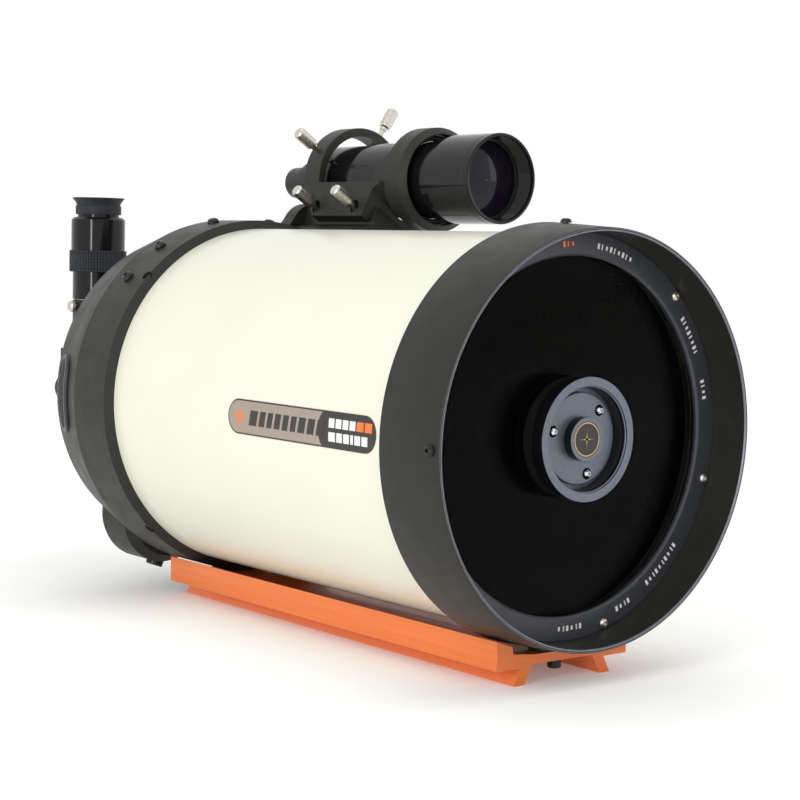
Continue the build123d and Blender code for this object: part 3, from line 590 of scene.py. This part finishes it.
def build_ring_marks():
    """Small printed marks round the retaining ring."""
    face = station_span("retaining_ring")[0]
    mesh = bmesh.new()
    groups = ((96, 3, 1), (82, 9, 0), (38, 8, 0), (16, 4, 0), (-38, 10, 0), (-63, 4, 0), (-84, 6, 0))

    def at(u, v, lift):
        angle = radians(u)
        r = MARKS_R + v
        return Vector((r * cos(angle) * MM, (face - lift) * MM, r * sin(angle) * MM)) + OPTICAL

    for start, count, kind in groups:
        for index in range(count):
            left = start - index * 1.75
            width = (0.9, 0.45, 0.75)[index % 3]
            half = (1.5, 1.5, 1.1)[index % 3]

            def edges(v, left=left, width=width, half=half):
                return left - width, left, half * (2 * v - 1)

            patch(mesh, 2, 4, edges, 0.06, 0.0, at, kind)
    keep(mesh, "ring_marks", [INK_WHITE, INK_ORANGE], "optical_tube")


build_tube()
build_front_cell()
build_ring_marks()

# ---------------------------------------------------------------- label


def build_label():
    first, last = station_span("label_plate")
    label_low, label_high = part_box("label_plate")
    rise = (label_low.z + label_high.z) / 2
    half = (label_high.z - label_low.z) / 2 / MM
    split = first + 48.0

    def at(u, v, lift):
        r = TUBE_R + lift
        angle = v / TUBE_R + (rise - OPTICAL.z) / MM / TUBE_R
        return Vector((-r * cos(angle) * MM, u * MM, r * sin(angle) * MM)) + OPTICAL

    def pill(inset, start, end):
        """Rows of a rounded-end strip; an end given as None follows the pill's own end."""
        r = half - inset

        def edges(v):
            height = r * sin((v - 0.5) * pi)
            bow = sqrt(max(0.0, r * r - height * height))
            left = first + half - bow if start is None else start(height)
            right = last - half + bow if end is None else end(height)
            return left, right, height

        return edges

    mesh = bmesh.new()
    patch(mesh, 28, 48, pill(0, None, None), 0.30, 0.03, at, 0)
    patch(mesh, 28, 32, pill(0.9, lambda h: split + 3.6 - 0.045 * h * h, None), 0.36, 0.2, at, 1)
    blocks = (7.5, 5.6, 5.0, 5.6, 5.4, 5.2, 6.4, 6.4, 6.2)
    cursor = last - 22.0
    for width in blocks:

        def slanted(v, cursor=cursor, width=width):
            height = -4.3 + 8.6 * v
            return cursor - width - 0.2 * height, cursor - 0.2 * height, height

        patch(mesh, 6, 2, slanted, 0.42, 0.3, at, 0)
        cursor -= width + 2.2

    def star(v):
        height = -6.4 + 12.8 * v
        wide = 6.0 * (1 - sqrt(abs(height) / 6.4)) ** 2 + 0.15
        return last - 12.0 - wide, last - 12.0 + wide, height

    patch(mesh, 40, 6, star, 0.42, 0.3, at, 2)
    for level, widths, last_kind in ((3.6, (5, 5, 5, 5, 6, 6), 2), (-3.8, (6, 5, 5, 2.4, 5, 5), 3)):
        cursor = split - 6.5
        for index, width in enumerate(widths):

            def plain(v, cursor=cursor, width=width, level=level):
                return cursor - width, cursor, level - 2.5 + 5.0 * v

            patch(mesh, 4, 2, plain, 0.40, 0.28, at, last_kind if index > 3 else 3)
            cursor -= width + 1.2
    surfaces = [INK_BLACK, INK_GREY, INK_ORANGE, INK_WHITE]
    keep(mesh, "side_label", surfaces, "optical_tube", ("label_plate",))


build_label()

# ---------------------------------------------------------------- secondary


def build_secondary():
    front, back = station_span("secondary_lock_ring")
    inner = 32.65
    outline = [
        (29.1, front),
        (33.9, front),
        (33.9, back),
        (inner, back),
        (inner, front + 3.4),
        (28.5, front + 3.4),
        (28.5, front + 1.2),
        (29.1, front + 1.0),
    ]
    turned(
        "lock_ring", TUBE, outline, GREY, "lock_ring", ("secondary_lock_ring",), 0.35
    )
    cap_front, cap_back = station_span("secondary_cap")
    cup = [
        (0, cap_front + 0.6),
        (9.6, cap_front + 0.6),
        (9.6, cap_front),
        (12.0, cap_front),
        (12.0, cap_back),
        (0, cap_back),
    ]
    turned("boss_cup", TUBE, cup, GREY, "optical_tube", ("secondary_cap",), 0.35, 96)
    disc = [(0, cap_front + 0.35), (9.5, cap_front + 0.35), (9.5, cap_front + 0.62), (0, cap_front + 0.62)]
    turned("boss_disc", TUBE, disc, INK_BLACK, "optical_tube", (), 0, 96)
    ring = [(8.6, cap_front + 0.1), (9.3, cap_front + 0.1), (9.3, cap_front + 0.4), (8.6, cap_front + 0.4)]
    turned("boss_gold_ring", TUBE, ring, GOLD, "optical_tube", (), 0.1, 96)
    mesh = bmesh.new()

    def at(u, v, lift):
        return Vector((u * MM, (cap_front + 0.35 - lift) * MM, v * MM)) + OPTICAL

    for x, z, wide, tall in ((0, 0, 6.0, 1.1), (0, 0, 1.1, 6.0)):

        def spike(v, x=x, z=z, wide=wide, tall=tall):
            height = tall * (2 * v - 1)
            return (
                x - wide * (1 - sqrt(abs(height) / tall)) ** 2 - 0.02,
                x + wide * (1 - sqrt(abs(height) / tall)) ** 2 + 0.02,
                z + height,
            )

        patch(mesh, 24, 6, spike, 0.1, 0.0, at)
    keep(mesh, "boss_star", [GOLD], "optical_tube")


build_secondary()

# ---------------------------------------------------------------- knurled screws and knobs


def thumb_screw(name, cad_node, joint, body, origin=None, direction=None):
    """A bright screw with a crossed-knurl head, on its joint's axis."""
    if joint:
        origin, direction = joint_axis(joint)
    tip, top, head_r = spans(cad_node, origin, direction)
    long_screw = top - tip > 26
    head = 15.4 if long_screw else 5.0 if "holder" in name else 10.0
    start = top - head
    shank = 2.0
    outline = [(0, tip), (shank - 0.4, tip), (shank, tip + 0.5)]
    if long_screw:
        outline += [(shank, start - 2.2), (shank + 0.7, start - 2.2), (shank + 0.7, start)]
    outline += [(head_r - 1.0, start), (head_r - 0.1, start + 0.8)]
    outline = eased(outline + [(head_r - 0.1, start + 1.4)], 0.15)[:-4]
    outline += [Vector(point) for point in rows(head_r, start + 1.6, top - 1.6, 48)]
    outline += [
        Vector(point)
        for point in (
            (head_r - 0.3, top - 1.2),
            (head_r - 0.9, top - 0.35),
            (head_r - 1.6, top - 0.05),
            (head_r - 2.2, top - 0.3),
            (0, top - 0.4),
        )
    ]
    relief = diamond_knurl(30, 0.16, start + 1.5, top - 1.5, 1.1)
    turned(
        name, aligned(origin, direction), outline, STEEL, body, (cad_node,), 0, 180, relief
    )


finder_out = Vector(joints["aim_screw_top_travel"]["axis"])
finder_side = Vector(joints["aim_screw_side_travel"]["axis"])
aim_origin = Vector((FINDER.x, middle("finder_screw_top").y, FINDER.z))

thumb_screw("clamp_screw_rear", "finder_clamp_rear", "clamp_turn_rear", "clamp_rear")
thumb_screw("clamp_screw_front", "finder_clamp_front", "clamp_turn_front", "clamp_front")
thumb_screw("visual_thumb_screw", "visual_back_screw", "visual_screw_turn", "visual_screw")
thumb_screw("holder_thumb_screw", "diagonal_screw", "holder_screw_turn", "holder_screw")
thumb_screw("aim_screw_out", "finder_screw_top", None, "aim_screw_top", aim_origin, finder_out)
thumb_screw("aim_screw_across", "finder_screw_side", None, "aim_screw_side", aim_origin, finder_side)


def ribbed_knob(name, cad_node, body, count, depth, surface):
    """A round knob with straight ribs, a rounded rim and a dished end."""
    centre = middle(cad_node)
    start, end = station_span(cad_node)
    low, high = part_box(cad_node)
    radius = (high.z - low.z) / 2 / MM
    rim = 0.14 * radius
    face = end - 0.35 * rim
    skirt = start + 1.2
    outline = [(radius * 0.55, start), (radius - rim, start), (radius - 0.2, skirt)]
    outline += rows(radius, skirt + 0.6, end - rim - 0.6, 12)
    for step in range(5):
        angle = step / 4 * pi / 2
        outline.append((radius - rim + rim * cos(angle), end - rim + rim * sin(angle)))
    outline += [(radius * 0.72, face), (radius * 0.3, face - 0.3), (0, face - 0.35)]
    outline += [(0, start)]
    relief = flutes(count, depth, skirt + 0.3, end - rim * 0.4, radius * 0.8)
    place = aligned((centre.x, OPTICAL.y, centre.z), (0, 1, 0))
    turned(name, place, outline, surface, body, (cad_node,), 0, count * 8, relief)


ribbed_knob("focus_grip", "focus_knob", "focuser", 36, 0.9, RUBBER)
ribbed_knob("clutch_grip_left", "clutch_knob_left", "clutch_left", 24, 0.5, SATIN)
ribbed_knob("clutch_grip_right", "clutch_knob_right", "clutch_right", 24, 0.5, SATIN)

# ---------------------------------------------------------------- visual back


def build_visual_back():
    start, end = station_span("visual_back")
    low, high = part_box("visual_back")
    radius = (high.z - low.z) / 2 / MM
    outline = [(25.25, start), (radius - 1.2, start)]
    outline += rows(radius, start + 1.2, start + 12.6, 12)
    outline += [
        (radius - 1.3, start + 14),
        (25, start + 17.6),
        (20.5, start + 21.6),
        (20.5, end - 9),
        (20.1, end - 8.6),
        (20.1, end - 7.6),
        (20.5, end - 7.2),
        (20.5, end - 0.6),
        (19.9, end),
        (15.95, end),
        (15.95, start + 17.7),
        (20, start + 13.8),
        (25.25, start + 13.8),
    ]
    relief = flutes(60, 0.5, start + 1.6, start + 12.2, radius - 1)
    replaced = ("visual_back",)
    turned(
        "visual_adapter", TUBE, outline, SATIN, "optical_tube", replaced, 0, 360, relief
    )


build_visual_back()

# ---------------------------------------------------------------- eyepiece


def build_eyepiece():
    centre = middle("eyepiece_grip")
    place = aligned((centre.x, centre.y, 0), (0, 0, 1))
    low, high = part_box("eyepiece_grip")
    start, end = low.z / MM, high.z / MM
    radius = (high.x - low.x) / 2 / MM
    bands = 7

    def relief(angle, r, height):
        if r < radius - 1:
            return 0.0
        around = ridge(angle / tau * 60)
        along = ridge((height - start) / (end - start) * bands)
        return 0.55 * max(0.0, 1 - 2.4 * around) + 0.35 * max(0.0, 1 - 3.2 * along)

    outline = [(18.7, start), (radius - 0.5, start)]
    outline += rows(radius, start + 0.5, end - 0.5, 42)
    outline += [(radius - 0.5, end), (18.7, end)]
    turned(
        "grip_sleeve", place, outline, RUBBER, "eyepiece", ("eyepiece_grip",), 0, 420, relief
    )
    cup_low, cup_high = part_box("eyepiece_cup")
    foot, brim = cup_low.z / MM, cup_high.z / MM
    lip = (cup_high.x - cup_low.x) / 2 / MM
    outline = [
        (15.45, foot),
        (16.9, foot),
        (16.9, foot + 6.3),
        (16.0, foot + 7.0),
        (17.0, foot + 9.2),
        (lip, brim - 0.5),
        (lip, brim),
        (lip - 1.1, brim),
        (15.6, foot + 8.6),
        (14.3, foot + 7.1),
        (15.45, foot + 6.3),
    ]
    turned("eyecup", place, outline, RUBBER, "eyepiece", ("eyepiece_cup",), 0.35, 128)
    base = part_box("eyepiece_body")[0].z / MM
    mesh = bmesh.new()

    def at(u, v, lift):
        r = 18.6 + lift
        angle = radians(u)
        return place @ (Vector((r * cos(angle), r * sin(angle), base + 2.6 + v)) * MM)

    for index, width in enumerate((5.5, 4.0, 5.5, 3.0, 5.5)):
        left = 158.0 + index * 8.0

        def block(v, left=left, width=width):
            return left, left + width, 2.2 * v - 1.1

        patch(mesh, 2, 3, block, 0.08, 0.0, at)
    keep(mesh, "eyepiece_marks", [INK_ORANGE], "eyepiece")


build_eyepiece()

# ---------------------------------------------------------------- finder


def build_finder():
    place = beside(FINDER)
    front, back = station_span("finder_bell")
    low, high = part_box("finder_bell")
    radius = (high.z - low.z) / 2 / MM
    seat = front + 24
    threads = []
    for step in range(14):
        station = front + 14.6 - step * 0.9
        threads += [(27.4, station), (26.95, station - 0.45)]
    outline = [
        (27.0, front + 0.2),
        (radius - 0.6, front),
        (radius, front + 0.6),
        (radius, front + 5.0),
        (radius - 0.15, front + 5.2),
        (radius - 0.15, front + 5.7),
        (radius, front + 5.9),
        (radius, back - 1.2),
        (radius - 1.2, back),
        (25.55, back),
        (25.55, seat),
        (27.4, seat),
    ]
    turned(
        "finder_bell_shell",
        place,
        outline + threads,
        GLOSS,
        "finder",
        ("finder_bell",),
        0,
        160,
    )
    ring = [(24.6, front + 14.2), (27.2, front + 14.2), (27.2, front + 15.4), (25.0, front + 16.2)]
    turned("finder_lens_ring", place, ring, SATIN, "finder", (), 0.2, 128)


build_finder()

# ---------------------------------------------------------------- dovetail bar


def build_dovetail():
    low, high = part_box("dovetail_bar")
    top = high.z / MM
    half = (high.x - low.x) / 2 / MM
    block = top - 25.7
    web_top = block + 16.0
    right = [
        (20.0, web_top),
        (36.6, web_top + 1.7),
        (37.4, web_top + 5.9),
        (half, top),
        (half, block + 9.3),
        (30.9, block + 9.3),
        (35.9, block),
        (28.3, block),
        (22.3, block + 10.8),
    ]
    left = [(-x, z) for x, z in reversed(right)]
    outline = eased(right + left, 0.45, 2)
    mesh = bmesh.new()
    ends = [[mesh.verts.new((p.x * MM, y, p.y * MM)) for p in outline] for y in (low.y, high.y)]
    for index in range(len(outline)):
        after = (index + 1) % len(outline)
        mesh.faces.new((ends[0][index], ends[0][after], ends[1][after], ends[1][index]))
    for corners in tessellate_polygon([outline]):
        mesh.faces.new([ends[0][corner] for corner in corners])
        mesh.faces.new([ends[1][corner] for corner in reversed(corners)])
    keep(mesh, "orange_bar", [ORANGE], "optical_tube", ("dovetail_bar",), 25)


build_dovetail()

# ---------------------------------------------------------------- stage, lights and camera


def build_stage():
    mesh = bmesh.new()
    bmesh.ops.create_circle(mesh, cap_ends=True, radius=9.0, segments=96)
    data = bpy.data.meshes.new("floor")
    mesh.to_mesh(data)
    mesh.free()
    floor_piece = bpy.data.objects.new("floor", data)
    bpy.context.scene.collection.objects.link(floor_piece)
    made = look("floor_paper", (0.90, 0.90, 0.89), 0.7, Specular_IOR_Level=0.0, Emission_Strength=0.12)
    made.node_tree.nodes["Principled BSDF"].inputs["Emission Color"].default_value = (1, 1, 1, 1)
    tint(made, 800, (0.89, 0.89, 0.88), (0.91, 0.91, 0.90))
    data.materials.append(made)
    world = bpy.data.worlds.new("studio")
    world.use_nodes = True
    world.node_tree.nodes["Background"].inputs["Color"].default_value = (1.0, 1.0, 1.0, 1)
    world.node_tree.nodes["Background"].inputs["Strength"].default_value = 1.0
    bpy.context.scene.world = world


def soft_box(name, place, target, width, height, power, color=(1, 1, 1)):
    light = bpy.data.lights.new(name, "AREA")
    light.shape = "RECTANGLE"
    light.size = width
    light.size_y = height
    light.energy = power
    light.color = color
    holder = bpy.data.objects.new(name, light)
    holder.location = place
    direction = Vector(target) - Vector(place)
    holder.rotation_euler = direction.to_track_quat("-Z", "Y").to_euler()
    bpy.context.scene.collection.objects.link(holder)


def build_lights():
    aim = OPTICAL + Vector((0, 0.15, 0))
    soft_box("key", (-1.9, -1.0, 1.5), aim, 1.0, 1.0, 6, (1.0, 0.99, 0.96))
    soft_box("top", (0.2, 0.2, 2.2), aim, 1.6, 1.6, 4)
    soft_box("strip", (-1.5, -0.55, 0.30), aim, 0.14, 0.9, 8)
    soft_box("right", (1.9, -1.3, 0.9), aim, 0.8, 1.2, 3)


def build_camera():
    azimuth, elevation, roll = radians(-38.457), radians(4.484), radians(1.349)
    back = Vector((sin(azimuth) * cos(elevation), -cos(azimuth) * cos(elevation), sin(elevation)))
    right = Vector((cos(azimuth), sin(azimuth), 0))
    up = back.cross(right)
    right, up = right * cos(roll) + up * sin(roll), up * cos(roll) - right * sin(roll)
    camera = bpy.data.cameras.new("camera")
    camera.lens = 86.25
    camera.sensor_width = 36.0
    holder = bpy.data.objects.new("camera", camera)
    columns = Matrix((right, up, back)).transposed().to_4x4()
    distance, aside, above = 1.02095, -0.108695, 0.022229
    aim = Vector((OPTICAL.x, OPTICAL.y, OPTICAL.z))
    holder.matrix_world = Matrix.Translation(aim + back * distance + right * aside + up * above) @ columns
    bpy.context.scene.collection.objects.link(holder)
    bpy.context.scene.camera = holder


build_stage()
build_lights()
build_camera()
bpy.context.scene.view_settings.view_transform = "Standard"
